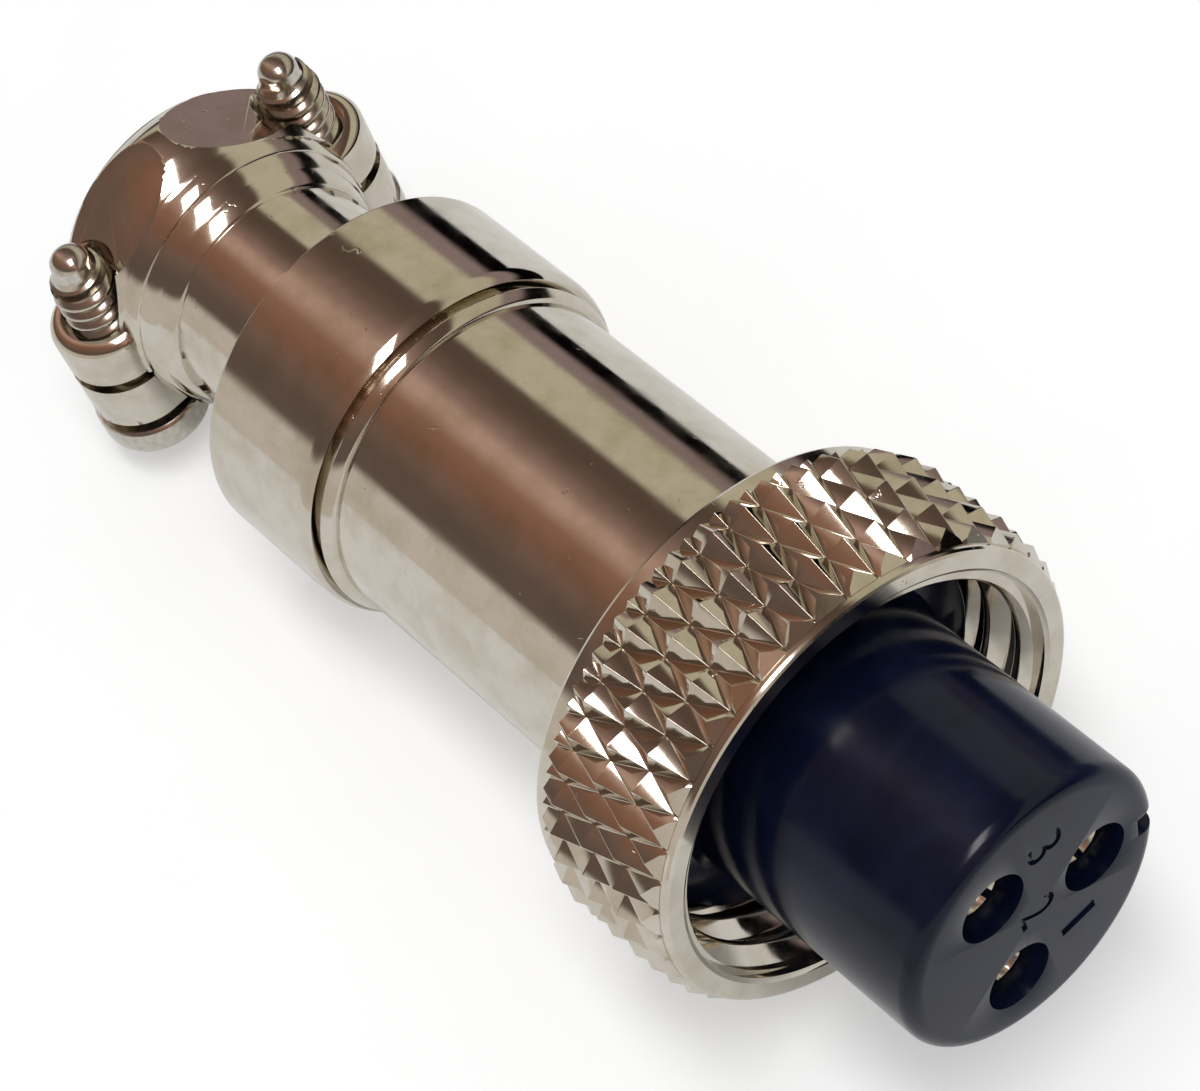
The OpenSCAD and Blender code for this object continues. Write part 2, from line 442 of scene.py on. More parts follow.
def linear(code: str) -> tuple[float, float, float, float]:
    """An sRGB hex colour as linear RGBA.

    Args:
        code: The colour, such as "#D4CDBF".

    Returns:
        Its linear red, green, blue and an alpha of 1.
    """
    channels = [int(code[i:i + 2], 16) / 255 for i in (1, 3, 5)]
    red, green, blue = (c / 12.92 if c <= 0.04045 else ((c + 0.055) / 1.055) ** 2.4 for c in channels)
    return red, green, blue, 1.0


def add_node(tree: bpy.types.NodeTree, kind: str, links: dict[str | int, Any] | None = None,
             values: dict[str | int, Any] | None = None, **settings: Any) -> bpy.types.Node:
    """Adds one node with its settings, constant inputs and incoming links.

    Args:
        tree: The node tree.
        kind: The node's type name.
        links: Input name or number to the output socket that feeds it.
        values: Input name or number to a constant.
        **settings: Properties of the node itself.

    Returns:
        The new node.
    """
    node = tree.nodes.new(kind)
    for key, value in settings.items():
        setattr(node, key, value)
    for key, value in (values or {}).items():
        node.inputs[key].default_value = value
    for key, socket in (links or {}).items():
        tree.links.new(socket, node.inputs[key])
    return node


def ramp(tree: bpy.types.NodeTree, source: bpy.types.NodeSocket,
         stops: Sequence[tuple[float, tuple[float, float, float, float]]]) -> bpy.types.NodeSocket:
    """Adds a colour ramp over a value.

    Args:
        tree: The node tree.
        source: The value that the ramp reads.
        stops: Place, from 0 to 1, and linear colour of each stop.

    Returns:
        The ramp's colour socket.
    """
    node = add_node(tree, "ShaderNodeValToRGB", {0: source})
    elements = node.color_ramp.elements
    while len(elements) > 1:
        elements.remove(elements[-1])
    elements[0].position, elements[0].color = stops[0]
    for place, colour in stops[1:]:
        elements.new(place).color = colour
    return node.outputs["Color"]


def grey(value: float) -> tuple[float, float, float, float]:
    """A linear grey."""
    return value, value, value, 1.0


def start_material(name: str) -> tuple[bpy.types.Material, bpy.types.NodeTree, bpy.types.Node,
                                       bpy.types.NodeSocket]:
    """Starts a material with its shader and the object's own coordinates.

    Args:
        name: The material's name.

    Returns:
        The material, its node tree, its main shader and the coordinates' socket.
    """
    material = bpy.data.materials.new(name)
    material.use_nodes = True
    tree = material.node_tree
    shader = tree.nodes["Principled BSDF"]
    place = add_node(tree, "ShaderNodeTexCoord").outputs["Object"]
    return material, tree, shader, place


def per_metre(size_mm: float) -> float:
    """The scale of a pattern whose features are a given number of millimetres apart."""
    return 1 / (size_mm * MM)


@dataclass(frozen=True)
class BrightNickel:
    """Bright nickel plate on a zinc or brass casting, buffed before plating.

    It is a warm mirror: room and floor show in it as bands along each barrel. Buffing leaves
    a slight waviness, faint cloudy patches and a few shallow nicks.
    """

    name: str = "bright_nickel_plate"
    tint: str = "#D4CDC1"
    shade: str = "#C5BDAC"
    polish: float = 0.06
    haze: float = 0.15
    cloud_mm: float = 1.6
    ripple_mm: float = 1.1
    ripple_depth_mm: float = 0.0016
    nick_mm: float = 0.7
    nick_depth_mm: float = 0.006

    def make(self) -> bpy.types.Material:
        """Builds the material.

        Returns:
            The finished material.
        """
        material, tree, shader, place = start_material(self.name)
        clouds = add_node(tree, "ShaderNodeTexNoise", {"Vector": place},
                          {"Scale": per_metre(self.cloud_mm), "Detail": 5.0, "Roughness": 0.62})
        tint = ramp(tree, clouds.outputs["Fac"],
                    [(0.32, linear(self.shade)), (0.58, linear(self.tint))])
        gloss = ramp(tree, clouds.outputs["Fac"], [(0.35, grey(self.haze)), (0.62, grey(self.polish))])
        ripple = add_node(tree, "ShaderNodeTexNoise", {"Vector": place},
                          {"Scale": per_metre(self.ripple_mm), "Detail": 4.0, "Roughness": 0.55})
        waves = add_node(tree, "ShaderNodeBump", {"Height": ripple.outputs["Fac"]},
                         {"Strength": 1.0, "Distance": self.ripple_depth_mm * MM})
        wear = add_node(tree, "ShaderNodeTexNoise", {"Vector": place},
                        {"Scale": per_metre(self.nick_mm), "Detail": 3.0, "Distortion": 1.2})
        pits = ramp(tree, wear.outputs["Fac"], [(0.70, grey(1)), (0.76, grey(0))])
        nicks = add_node(tree, "ShaderNodeBump", {"Height": pits, "Normal": waves.outputs["Normal"]},
                         {"Strength": 1.0, "Distance": self.nick_depth_mm * MM})
        shader.inputs["Metallic"].default_value = 1.0
        tree.links.new(tint, shader.inputs["Base Color"])
        tree.links.new(gloss, shader.inputs["Roughness"])
        tree.links.new(nicks.outputs["Normal"], shader.inputs["Normal"])
        return material


@dataclass(frozen=True)
class MouldedBlack:
    """Glossy black thermoset, moulded in a polished tool, with a faint blue cast."""

    name: str = "moulded_black_plastic"
    body: str = "#0A1024"
    bloom: str = "#141B33"
    gloss: float = 0.12
    dull: float = 0.24
    shine: float = 0.27
    flow_mm: float = 3.0
    grain_mm: float = 0.12
    grain_depth_mm: float = 0.0005

    def make(self) -> bpy.types.Material:
        """Builds the material.

        Returns:
            The finished material.
        """
        material, tree, shader, place = start_material(self.name)
        flow = add_node(tree, "ShaderNodeTexNoise", {"Vector": place},
                        {"Scale": per_metre(self.flow_mm), "Detail": 4.0, "Distortion": 0.6})
        tint = ramp(tree, flow.outputs["Fac"], [(0.4, linear(self.body)), (0.75, linear(self.bloom))])
        gloss = ramp(tree, flow.outputs["Fac"], [(0.35, grey(self.gloss)), (0.7, grey(self.dull))])
        grain = add_node(tree, "ShaderNodeTexNoise", {"Vector": place},
                         {"Scale": per_metre(self.grain_mm), "Detail": 2.0})
        bump = add_node(tree, "ShaderNodeBump", {"Height": grain.outputs["Fac"]},
                        {"Strength": 1.0, "Distance": self.grain_depth_mm * MM})
        tree.links.new(tint, shader.inputs["Base Color"])
        tree.links.new(gloss, shader.inputs["Roughness"])
        tree.links.new(bump.outputs["Normal"], shader.inputs["Normal"])
        shader.inputs["Specular IOR Level"].default_value = self.shine
        return material


@dataclass(frozen=True)
class PlainMetal:
    """A metal with one tint, fine turning marks and a little haze."""

    name: str
    tint: str
    shade: str
    polish: float
    haze: float
    mark_mm: float = 0.25
    mark_depth_mm: float = 0.001

    def make(self) -> bpy.types.Material:
        """Builds the material.

        Returns:
            The finished material.
        """
        material, tree, shader, place = start_material(self.name)
        marks = add_node(tree, "ShaderNodeTexNoise", {"Vector": place},
                         {"Scale": per_metre(self.mark_mm), "Detail": 3.0})
        tint = ramp(tree, marks.outputs["Fac"], [(0.3, linear(self.shade)), (0.7, linear(self.tint))])
        gloss = ramp(tree, marks.outputs["Fac"], [(0.3, grey(self.haze)), (0.7, grey(self.polish))])
        bump = add_node(tree, "ShaderNodeBump", {"Height": marks.outputs["Fac"]},
                        {"Strength": 1.0, "Distance": self.mark_depth_mm * MM})
        shader.inputs["Metallic"].default_value = 1.0
        tree.links.new(tint, shader.inputs["Base Color"])
        tree.links.new(gloss, shader.inputs["Roughness"])
        tree.links.new(bump.outputs["Normal"], shader.inputs["Normal"])
        return material


def dress(piece: bpy.types.Object, material: bpy.types.Material) -> bpy.types.Object:
    """Gives a piece one material all over.

    Args:
        piece: The object.
        material: Its finish.

    Returns:
        The same object.
    """
    piece.data.materials.clear()
    piece.data.materials.append(material)
    for face in piece.data.polygons:
        face.material_index = 0
    return piece


def place_for(piece: bpy.types.Object, body: str, slot: str, *nodes: str) -> bpy.types.Object:
    """Lets a piece ride on a body and stand for CAD nodes.

    Args:
        piece: The finished piece.
        body: The body that it rides on.
        slot: The record's material slot; not used.
        *nodes: The CAD nodes that it stands for.

    Returns:
        The same object.
    """
    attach(piece, body)
    if nodes:
        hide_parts(*nodes)
    log.info("%s stands for %s on %s", piece.name, ", ".join(nodes) or "nothing", body)
    return piece


def in_mm(node: str) -> tuple[Vector, Vector]:
    """A CAD node's lowest and highest corners in millimetres.

    Args:
        node: The node's name.

    Returns:
        Its two corners.
    """
    low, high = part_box(node)
    return low / MM, high / MM


# ---------------------------------------------------------------- sub-assemblies


@dataclass
class Shell:
    """Barrel, neck and fixed clamp half, cast and turned in one piece."""

    finish: bpy.types.Material
    front_r: float = 6.4
    ring_r: float = 6.8
    ring_w: float = 0.45
    ring_slope: float = 0.2
    groove_w: float = 0.26
    groove_r: float = 6.5
    shoulder_r: float = 0.9
    shoulder_turn: float = 38.0
    step_back: float = 6.0
    neck_r: float = 4.6
    neck_bore_r: float = 3.8
    cavity_r: float = 5.5
    sleeve_r: float = 5.3
    arch_r: float = 6.35
    arch_round: float = 2.6
    arch_flat: float = 5.65
    crown_back: float = 1.9
    cable_r: float = 4.1
    clamp_w: float = 4.2
    ear_t: float = 2.05
    ear_round: float = 0.55
    pocket_r: float = 1.5
    pocket_t: float = 1.55
    edge: float = 0.1

    def __post_init__(self) -> None:
        """Reads the shell's ends and its screws' places from the frame."""
        low, high = in_mm("shell")
        self.front = high.x
        self.rear = low.x
        self.head_z = in_mm("clamp_saddle")[1].z + 0.5
        self.rear_r = high.z
        self.head_front = self.rear + self.clamp_w
        self.barrel_end = self.rear + 11.2
        self.step_x = self.barrel_end + self.step_back
        screw_low, screw_high = in_mm("clamp_screw_right")
        self.screw_x = (screw_low.x + screw_high.x) / 2
        self.screw_y = (screw_low.y + screw_high.y) / 2

    def profile(self) -> list[Point]:
        """The turned section, closed on itself, from the front edge to the cable's hole and back.

        Returns:
            The section's points.
        """
        r = self.rear_r
        ring0 = self.step_x + self.groove_w / 2
        ring1 = ring0 + self.ring_w
        shoulder = self.step_x - self.groove_w / 2
        head = self.head_front
        outside = [(self.front, self.sleeve_r), (self.front, self.front_r - 0.2)]
        outside += arc(self.front - 0.2, self.front_r - 0.2, 0.2, 0, 90, 5)[1:]
        low = self.ring_r - self.ring_slope
        outside += [(ring1 + 0.13, self.front_r), (ring1 + 0.05, self.front_r + 0.02),
                    (ring1 + 0.02, low - 0.05), (ring1 - 0.03, low + 0.01),
                    (ring0 + 0.08, self.ring_r - 0.005), (ring0 + 0.02, self.ring_r - 0.02),
                    (ring0, self.ring_r - 0.06), (ring0, self.groove_r), (shoulder, self.groove_r)]
        bend, turn = self.shoulder_r, self.shoulder_turn
        outside += arc(shoulder - bend * math.sin(math.radians(turn)), r - bend, bend, 90 - turn, 90, 8)
        outside += arc(self.barrel_end + 0.14, r - 0.14, 0.14, 90, 180, 5)
        outside += arc(self.barrel_end - 0.12, self.neck_r + 0.12, 0.12, 0, -90, 4)
        outside += [(head + 1.63, self.neck_r), (head + 1.58, self.neck_r + 0.03)]
        for back, inner, outer in ((1.55, 4.72, 5.0), (0.82, 5.08, 5.34), (0.17, 5.42, 5.62)):
            outside += [(head + back, inner - 0.03), (head + back - 0.04, inner + 0.01),
                        (head + back - 0.58, outer - 0.005), (head + back - 0.63, outer)]
        crown, round_r = self.rear + self.crown_back, self.arch_round
        ends = [math.degrees(math.acos(x / round_r)) for x in (head - 0.52 - crown, 0.15 - self.crown_back)]
        outside += arc(crown, self.arch_r - round_r, round_r, ends[0], ends[1], 24)
        rim = outside[-1][1]
        outside += arc(self.rear + 0.15, rim - 0.15, 0.15, 90, 180, 4)
        inside = [(self.rear, self.cable_r + 0.15), (self.rear + 0.15, self.cable_r),
                  (head - 0.6, self.cable_r), (head - 0.6, self.neck_bore_r),
                  (self.barrel_end + 1.4, self.neck_bore_r), (self.barrel_end + 1.4, self.cavity_r),
                  (-20.4, self.cavity_r), (-20.4, self.sleeve_r), (self.front, self.sleeve_r)]
        return outside + inside

    def ears(self) -> bpy.types.Object:
        """The two ears of the fixed clamp half, joined by their middle.

        Returns:
            The ears as one solid.
        """
        top, foot = self.head_z + self.ear_t, self.head_z - 1
        half, bend = self.clamp_w / 2, self.ear_round
        bridge = block("ears", (self.screw_x - half + bend, -self.screw_y, foot),
                       (self.screw_x + half - bend, self.screw_y, top - 0.05))
        profile = [(foot, 0.0), (foot, half), *arc(top - bend, half - bend, bend, 90, 0, 6), (top, 0.0)]
        for side in (-1, 1):
            ear = turned("ear", profile, 96)
            ear.data.transform(Matrix.Translation((self.screw_x * MM, side * self.screw_y * MM, 0))
                               @ Matrix.Rotation(-math.pi / 2, 4, "Y"))
            combine(bridge, ear, Cut.UNION)
        return bridge

    def build(self) -> bpy.types.Object:
        """Models the shell.

        Returns:
            The dressed shell.
        """
        shell = turned("shell_body", self.profile(), 256)
        for side in (-1, 1):
            flat = block("flat", (self.rear - 1, -10, self.arch_flat), (self.head_front - 0.02, 10, 16))
            flat.data.transform(about_x(side * 30))
            combine(shell, flat, Cut.DIFFERENCE)
        ears = combine(self.ears(), rod("bore", self.cable_r, self.rear - 1, self.head_front - 0.6),
                       Cut.DIFFERENCE)
        combine(ears, rod("neck_bore", self.neck_bore_r, self.rear - 1, self.barrel_end), Cut.DIFFERENCE)
        combine(shell, ears, Cut.UNION)
        under = block("under", (self.rear - 1, -10, -10), (self.head_front + 0.2, 10, self.head_z))
        combine(shell, under, Cut.DIFFERENCE)
        top = self.head_z + self.pocket_t
        for side in (-1, 1):
            y = side * self.screw_y
            combine(shell, post("pocket", self.pocket_r, self.screw_x, y, top, top + 8), Cut.DIFFERENCE)
            combine(shell, post("hole", 1.28, self.screw_x, y, -1, 8), Cut.DIFFERENCE)
        combine(shell, post("lock_hole", 1.0, -17.0, 0, -7.5, -4.5, 48), Cut.DIFFERENCE)
        soften(shell, self.edge, 3, 34)
        even_out(smooth(shell, 35))
        dress(shell, self.finish)
        return place_for(shell, "plug_body", "nickel_plating", "shell")


@dataclass
class CouplingNut:
    """Loose nut with a diamond knurl outside and a coarse thread inside."""

    finish: bpy.types.Material
    core_r: float = 8.97
    lip_t: float = 1.2
    lip_r: float = 6.7
    thread_r: float = 7.5
    thread_root_r: float = 8.05
    thread_pitch: float = 1.5
    mouth_r: float = 8.15
    edge: float = 0.15
    rear_land: float = 0.7
    front_land: float = 0.3
    count: int = 43
    row_pitch: float = 1.57
    first_row: float = -8.15
    rows: int = 5
    phase: float = 120.1
    groove: float = 0.08
    sunk: float = 0.1
    tip: float = 0.03
    facet_round: float = 0.09
    front_cone: tuple[float, float] = (0.6, 0.5)

    def __post_init__(self) -> None:
        """Reads the nut's ends and its outer radius from the frame."""
        low, high = in_mm("coupling_nut")
        self.rear, self.front, self.peak_r = low.x, high.x, high.z

    def body(self) -> bpy.types.Object:
        """The turned blank: lands, end faces, lip and the thread's root.

        Returns:
            The blank.
        """
        e = self.edge
        deep = self.front - (self.mouth_r - self.thread_r)
        relief = self.rear + self.lip_t
        profile = [(self.rear, self.lip_r + 0.1), (self.rear, self.core_r - e),
                   (self.rear + e * 0.35, self.core_r - e * 0.35), (self.rear + e, self.core_r),
                   (self.front - e, self.core_r), (self.front - e * 0.35, self.core_r - e * 0.35),
                   (self.front, self.core_r - e), (self.front, self.mouth_r + 0.06),
                   (self.front - 0.05, self.mouth_r), (deep + 0.55, self.thread_root_r),
                   (relief, self.thread_root_r), (relief, self.lip_r), (self.rear + 0.1, self.lip_r),
                   (self.rear, self.lip_r + 0.1)]
        return turned("nut_body", profile, 256)

    def thread(self) -> bpy.types.Object:
        """The coupling thread's ridge, wound inside the blank and cut off at both ends.

        Returns:
            The ridge.
        """
        p, crest, root = self.thread_pitch, self.thread_r, self.thread_root_r + 0.05
        ridge = [(-p * 0.44, root), (-p * 0.11, crest + 0.03), (-p * 0.07, crest), (p * 0.07, crest),
                 (p * 0.11, crest + 0.03), (p * 0.44, root)]
        wound = helix("nut_thread", ridge, p, 5, self.rear + 0.2, 96)
        trim(wound, (self.front - 0.42, 0, 0), AXIS_X)
        trim(wound, (self.rear + self.lip_t - 0.1, 0, 0), (-1, 0, 0))
        return outward(wound)

    def diamond(self) -> bpy.types.Object:
        """One pyramid of the knurl at the top of the nut, its edges a little rounded.

        Returns:
            The pyramid.
        """
        across = math.pi * self.peak_r / self.count
        reach = across * self.row_pitch / math.hypot(across, self.row_pitch)
        high = self.peak_r - self.core_r
        grow = (reach - self.groove / 2) / reach * (high + self.sunk) / high
        deselect()
        bpy.ops.mesh.primitive_cone_add(
            vertices=4, radius1=MM, radius2=self.tip * MM, depth=(high + self.sunk) * MM,
            location=(0, 0, (self.core_r + (high - self.sunk) / 2) * MM))
        piece = start("diamond")
        bpy.ops.object.mode_set(mode="EDIT")
        bpy.ops.mesh.select_all(action="SELECT")
        bpy.ops.transform.resize(value=(self.row_pitch * grow, across * grow, 1))
        bpy.ops.object.mode_set(mode="OBJECT")
        return soften(settle(piece), self.facet_round, 3, 10)

    def knurl(self) -> list[bpy.types.Object]:
        """Copies the diamond along and round the nut, cut off square at both lands.

        Returns:
            All the diamonds.
        """
        model = self.diamond()
        ends = (self.rear + self.rear_land, self.front - self.front_land)
        long, drop = self.front_cone
        step = 360 / self.count
        diamonds = []
        for row in range(self.rows):
            x = self.first_row - row * self.row_pitch
            first = copy_of(model, "row", Matrix.Translation((x * MM, 0, 0)))
            if x - self.row_pitch < ends[0]:
                trim(first, (ends[0], 0, 0), (-1, 0, 0))
            if x + self.row_pitch > ends[1]:
                trim(first, (ends[1], 0, 0), AXIS_X)
                trim(first, (ends[1] - long, 0, self.peak_r), (drop, 0, long))
            turn = self.phase - 90 + (row + 1) % 2 * step / 2
            diamonds += [copy_of(first, "diamond", about_x(turn + i * step)) for i in range(self.count)]
            bpy.data.objects.remove(first, do_unlink=True)
        bpy.data.objects.remove(model, do_unlink=True)
        return diamonds

    def build(self) -> bpy.types.Object:
        """Models the nut.

        Returns:
            The dressed nut.
        """
        nut = join("coupling_nut_knurled", [self.body(), self.thread(), *self.knurl()])
        smooth(nut, 28)
        dress(nut, self.finish)
        return place_for(nut, "nut", "nickel_knurl", "coupling_nut")


@dataclass
class Insert:
    """Moulded front insulator with its numbered face, the three contacts and the rear insulator."""

    plastic: bpy.types.Material
    inner: bpy.types.Material
    contact: bpy.types.Material
    nose_r: float = 5.5
    nose_round: float = 0.6
    flange_r: float = 7.15
    flange_t: float = 1.3
    plug_r: float = 4.57
    ring_r: float = 2.7
    hole_r: float = 1.33
    collar_r: float = 1.58
    collar_x: float = -14.2
    key_w: float = 0.9
    key_depth: float = 0.9
    key_angle: float = -9.0
    digit_h: float = 1.5
    digit_w: float = 0.85
    digit_depth: float = 0.1
    contact_r: float = 1.15
    pin_r: float = 0.78
    recess: float = 0.9
    slit: float = 0.3

    def __post_init__(self) -> None:
        """Reads the nose's ends and the contacts' rear from the frame."""
        low, high = in_mm("front_insulator")
        self.face, self.rear = high.x, low.x
        self.flange_x = self.face - 10.6
        self.cup_end = in_mm("socket_contact_1")[0].x

    def front(self) -> bpy.types.Object:
        """Models the front insulator.

        Returns:
            The dressed insulator.
        """
        back = self.flange_x - self.flange_t
        profile = [(self.face, 0.4)]
        profile += arc(self.face - self.nose_round, self.nose_r - self.nose_round, self.nose_round,
                       0, 90, 10)
        profile += [(self.flange_x + 0.3, self.nose_r), (self.flange_x, self.nose_r + 0.3),
                    (self.flange_x, self.flange_r - 0.12), (self.flange_x - 0.12, self.flange_r),
                    (back, self.flange_r), (back, self.plug_r), (self.rear, self.plug_r),
                    (self.rear, 0.4)]
        nose = turned("front_insulator_moulded", profile + profile[:1], 192)
        combine(nose, rod("core", 0.8, self.rear, self.face, sides=48), Cut.UNION)
        for i in range(3):
            turn = about_x(120 * i)
            hole = rod("hole", self.hole_r, self.rear - 1, self.face + 1, self.ring_r, 0, 64)
            seat = rod("seat", self.collar_r, self.rear - 1, self.collar_x + 1, self.ring_r, 0, 64)
            for cutter in (hole, seat):
                cutter.data.transform(turn)
                combine(nose, cutter, Cut.DIFFERENCE)
        key = block("key", (self.flange_x, self.nose_r - self.key_depth, -self.key_w / 2),
                    (self.face + 1, self.nose_r + 1, self.key_w / 2))
        key.data.transform(about_x(self.key_angle))
        combine(nose, key, Cut.DIFFERENCE)
        soften(nose, 0.07, 2, 40)
        for mark, y, z in (("3", 1.1, 2.9), ("2", 0.1, 0.1), ("1", 1.4, -2.3)):
            combine(nose, self.digit(mark, y, z), Cut.DIFFERENCE)
        smooth(nose, 30)
        dress(nose, self.plastic)
        return place_for(nose, "plug_body", "black_insert", "front_insulator")

    def digit(self, mark: str, y: float, z: float) -> bpy.types.Object:
        """A numeral as a cutter in the nose's face, its top towards +Y.

        Args:
            mark: The numeral.
            y: Its middle's place across.
            z: Its middle's height.

        Returns:
            The cutter.
        """
        deselect()
        bpy.ops.object.text_add(location=ORIGIN)
        text = bpy.context.active_object
        text.data.body = mark
        text.data.align_x = "CENTER"
        text.data.align_y = "CENTER"
        text.data.extrude = 0.5
        text.data.resolution_u = 6
        bpy.ops.object.convert(target="MESH")
        piece = outward(start("digit"))
        xs, ys = ([v.co[i] for v in piece.data.vertices] for i in (0, 1))
        wide, tall = max(xs) - min(xs), max(ys) - min(ys)
        middle = Vector(((max(xs) + min(xs)) / 2, (max(ys) + min(ys)) / 2, 0))
        width = self.digit_w * (0.5 if mark == "1" else 1.0)
        size = Matrix.Diagonal((width / wide * MM, self.digit_h / tall * MM, self.digit_depth * 2 * MM, 1))
        # The text's right, up and front become -Z, +Y and +X
        facing = Matrix(((0, 0, 1, 0), (0, 1, 0, 0), (-1, 0, 0, 0), (0, 0, 0, 1)))
        spot = Matrix.Translation((self.face * MM, y * MM, z * MM))
        piece.data.transform(spot @ facing @ size @ Matrix.Translation(-middle))
        return piece

    def contacts(self) -> list[bpy.types.Object]:
        """Models one socket contact and copies it to the three holes.

        Returns:
            The dressed contacts.
        """
        mouth, r, pin = self.face - self.recess, self.contact_r, self.pin_r
        profile = [(mouth - 6.5, 0.05), (mouth - 6.1, pin), (mouth - 0.3, pin), (mouth, pin + 0.2),
                   (mouth, r - 0.16), (mouth - 0.16, r), (self.collar_x + 1, r),
                   (self.collar_x + 1, 1.55), (self.collar_x, 1.55), (self.collar_x, r),
                   (self.cup_end + 0.1, r), (self.cup_end, r - 0.1), (self.cup_end, 0.92),
                   (self.cup_end + 0.08, 0.85), (self.cup_end + 3.1, 0.85), (self.cup_end + 3.3, 0.05)]
        model = turned("contact", profile + profile[:1], 96)
        model.data.transform(Matrix.Translation((0, self.ring_r * MM, 0)))
        for turn in (0, 90):
            slit = block("slit", (mouth - 5, -2, -self.slit / 2), (mouth + 1, 2, self.slit / 2))
            slit.data.transform(Matrix.Translation((0, self.ring_r * MM, 0)) @ about_x(turn))
            combine(model, slit, Cut.DIFFERENCE)
        cup = block("cup", (self.cup_end - 1, self.ring_r, -2), (self.cup_end + 2.4, self.ring_r + 2, 2))
        combine(model, cup, Cut.DIFFERENCE)
        smooth(soften(model, 0.03, 1, 40), 35)
        dress(model, self.contact)
        made = []
        for i in range(3):
            name = f"socket_contact_{i + 1}"
            twin = copy_of(model, f"{name}_turned", about_x(120 * i))
            made.append(place_for(twin, "plug_body", "plated_contact", name))
        bpy.data.objects.remove(model, do_unlink=True)
        return made

    def build(self) -> list[bpy.types.Object]:
        """Models the insert and gives the rear insulator its finish.

        Returns:
            The new pieces.
        """
        dress(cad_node("rear_insulator"), self.inner)
        return [self.front(), *self.contacts()]


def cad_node(name: str) -> bpy.types.Object:
    """A CAD node's object, that stays as it is and only gets a finish."""
    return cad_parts[name]


@dataclass
class Clamp:
    """Loose half of the cable clamp with its two screws."""

    finish: bpy.types.Material
    screw_finish: bpy.types.Material
    arch_r: float = 5.9
    cable_r: float = 4.1
    ear_t: float = 2.15
    screw_r: float = 1.25
    clearance: float = 0.08
    head_r: float = 2.2
    head_h: float = 1.6
    head_round: float = 0.7
    pitch: float = 0.6
    tip_r: float = 0.78
    recess: float = 2.4
    recess_w: float = 0.5
    edge: float = 0.12

    def __post_init__(self) -> None:
        """Reads the saddle's box and the screws' places from the frame."""
        self.low, self.high = in_mm("clamp_saddle")
        self.top = self.high.z
        self.ear_low = self.top - self.ear_t
        screw_low, screw_high = in_mm("clamp_screw_right")
        self.screw_x = (screw_low.x + screw_high.x) / 2
        self.screw_y = (screw_low.y + screw_high.y) / 2
        self.screw_low, self.screw_high = screw_low.z, screw_high.z

    def saddle(self) -> bpy.types.Object:
        """Models the loose half.

        Returns:
            The dressed saddle.
        """
        rear, front, r = self.low.x, self.high.x, self.arch_r
        profile = [(front, 0.0), (front, r - 0.5)]
        profile += arc(front - 0.5, r - 0.5, 0.5, 20, 90, 6) + arc(rear + 0.5, r - 0.5, 0.5, 90, 160, 6)
        profile += [(rear, r - 0.5), (rear, 0.0)]
        saddle = turned("clamp_saddle_cast", profile, 192)
        half = (front - rear) / 2
        bridge = block("ears", (rear, -self.screw_y, self.ear_low), (front, self.screw_y, self.top + 1))
        for side in (-1, 1):
            end = post("ear_end", half, self.screw_x, side * self.screw_y, self.ear_low, self.top + 1)
            combine(bridge, end, Cut.UNION)
        combine(saddle, bridge, Cut.UNION)
        combine(saddle, block("above", (rear - 1, -10, self.top), (front + 1, 10, 10)), Cut.DIFFERENCE)
        combine(saddle, rod("bore", self.cable_r, rear - 1, front + 1, sides=128), Cut.DIFFERENCE)
        hole = self.screw_r + self.clearance
        for side in (-1, 1):
            y = side * self.screw_y
            combine(saddle, post("hole", hole, self.screw_x, y, -10, 5), Cut.DIFFERENCE)
            combine(saddle, post("seat", self.head_r + 0.15, self.screw_x, y, -10, self.ear_low),
                    Cut.DIFFERENCE)
        even_out(smooth(soften(saddle, self.edge, 3, 34), 35))
        dress(saddle, self.finish)
        return place_for(saddle, "saddle", "nickel_plating", "clamp_saddle")

    def screw(self) -> bpy.types.Object:
        """Models one clamp screw on the X axis, its tip towards +X, then stands it up.

        Returns:
            The screw, on the Z axis.
        """
        low, tip, r = self.screw_low, self.screw_high, self.screw_r
        root = r - self.pitch * 0.5
        neck = low + self.head_h
        profile = [(low, 0.02)]
        profile += arc(low + self.head_round, self.head_r - self.head_round, self.head_round, 180, 90, 8)
        profile += [(neck - 0.12, self.head_r), (neck, self.head_r - 0.12), (neck, root),
                    (tip - 1.1, root), (tip - 0.95, self.tip_r + 0.08), (tip - 0.8, self.tip_r)]
        profile += [(tip - 0.6 + 0.6 * math.sin(a), self.tip_r * math.cos(a) ** 0.8)
                    for a in (math.radians(t) for t in range(5, 86, 10))]
        profile += [(tip, 0.02)]
        body = turned("screw", profile, 96)
        for turn in (0, 90):
            bar = block("bar", (low - 1, -self.recess / 2, -self.recess_w / 2),
                        (low + 0.8, self.recess / 2, self.recess_w / 2))
            bar.data.transform(about_x(turn))
            combine(body, bar, Cut.DIFFERENCE)
        soften(body, 0.05, 2, 40)
        p = self.pitch
        ridge = [(-p * 0.48, root - 0.06), (-p * 0.42, root), (-p * 0.16, r - 0.05), (-p * 0.08, r - 0.012),
                 (0.0, r), (p * 0.08, r - 0.012), (p * 0.16, r - 0.05), (p * 0.42, root),
                 (p * 0.48, root - 0.06)]
        turns = int((tip - 0.55 - neck) / p)
        wound = helix("screw_thread", ridge, p, turns, neck - 0.1, 48)
        trim(wound, (neck - 0.05, 0, 0), (-1, 0, 0))
        taper = turned("taper", [(neck - 1, 0.0), (neck - 1, r + 1), (tip - 2.0, r + 0.03),
                                 (tip - 0.9, 1.0), (tip - 0.75, 0.7), (tip - 0.7, 0.0)], 64)
        combine(outward(wound), taper, Cut.INTERSECT)
        screw = join("screw", [body, wound])
